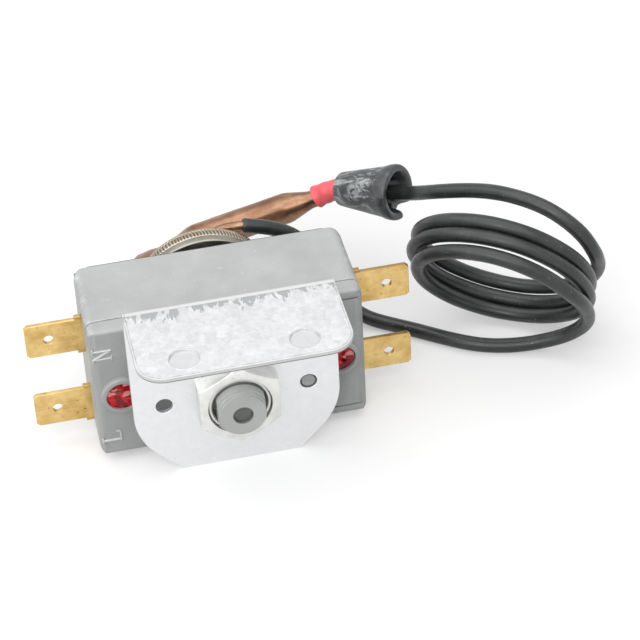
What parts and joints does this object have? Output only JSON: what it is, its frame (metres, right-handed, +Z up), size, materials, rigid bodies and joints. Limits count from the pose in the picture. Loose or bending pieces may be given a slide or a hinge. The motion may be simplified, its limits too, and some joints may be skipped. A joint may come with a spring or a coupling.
{
  "type": "capillary thermostat",
  "caption": "Double-pole manual-reset thermal cut-out: grey switch housing with brass tabs, L-shaped mounting bracket, reset button, and a sleeved coiled capillary with a copper sensing bulb.",
  "frame": {"origin": "on the floor under the middle of the switch's outline, without the capillary and its bulb", "axes": "+X across the tabs to the right seen from the button, +Y from the button towards the capsule, +Z up through the bracket's holes"},
  "size_m": [0.0978, 0.0769, 0.0336],
  "materials": {
    "case_plastic": "fine moulded grain",
    "cover_plastic": "fine moulded grain",
    "screw_lacquer": "glossy locking lacquer",
    "galvanised_sheet": "zinc spangle",
    "plated_metal": "turned and plated",
    "button_plastic": "smooth moulded",
    "button_pin": "dark, satin",
    "carrier_plastic": "plain moulded",
    "bridge_bronze": "rolled",
    "contact_silver": "dull silver",
    "tab_brass": "stamped and scratched",
    "spring_steel": "drawn wire",
    "plate_steel": "dark passivated",
    "capsule_steel": "pressed and welded",
    "copper": "drawn and tarnished",
    "sleeve_rubber": "dusty satin",
    "grommet_rubber": "chalky satin",
    "shrink_red": "shrunk, satin"
  },
  "bodies": {
    "housing": {"rear_case": "case_plastic", "front_cover": "cover_plastic", "cover_screw_left": "screw_lacquer", "cover_screw_right": "screw_lacquer", "mounting_bracket": "galvanised_sheet", "reset_bush": "plated_metal", "bush_nut": "plated_metal", "terminal_n_left": "tab_brass", "terminal_n_right": "tab_brass", "terminal_l_left": "tab_brass", "terminal_l_right": "tab_brass", "fixed_contact_n_left": "contact_silver", "fixed_contact_n_right": "contact_silver", "fixed_contact_l_left": "contact_silver", "fixed_contact_l_right": "contact_silver", "trip_spring": "spring_steel", "back_plate": "plate_steel", "capsule_front": "capsule_steel", "diaphragm": "capsule_steel", "capsule_back": "capsule_steel", "capillary_stub": "copper", "capillary_lead": "sleeve_rubber", "capillary_coil": "sleeve_rubber", "capillary_tail": "sleeve_rubber", "grommet": "grommet_rubber", "bulb_shrink_sleeve": "shrink_red", "sensing_bulb": "copper"},
    "carriage": {"reset_button": "button_plastic", "button_pin": "button_pin", "contact_carrier": "carrier_plastic", "bridge_n": "bridge_bronze", "bridge_l": "bridge_bronze", "moving_contacts_n": "contact_silver", "moving_contacts_l": "contact_silver"},
    "diaphragm_pin": {"push_pin": "plated_metal"}
  },
  "joints": [
    {"name": "reset_slide", "type": "slide", "parent": "housing", "child": "carriage", "axis": [0, -1, 0], "range_m": [0, 0.002], "stiffness_N_per_m": 300},
    {"name": "diaphragm_push", "type": "slide", "parent": "housing", "child": "diaphragm_pin", "axis": [0, -1, 0], "range_m": [0, 0.0006]}
  ],
  "couplings": [
    {"joint": "diaphragm_push", "follows": "reset_slide", "ratio": 0.3}
  ]
}
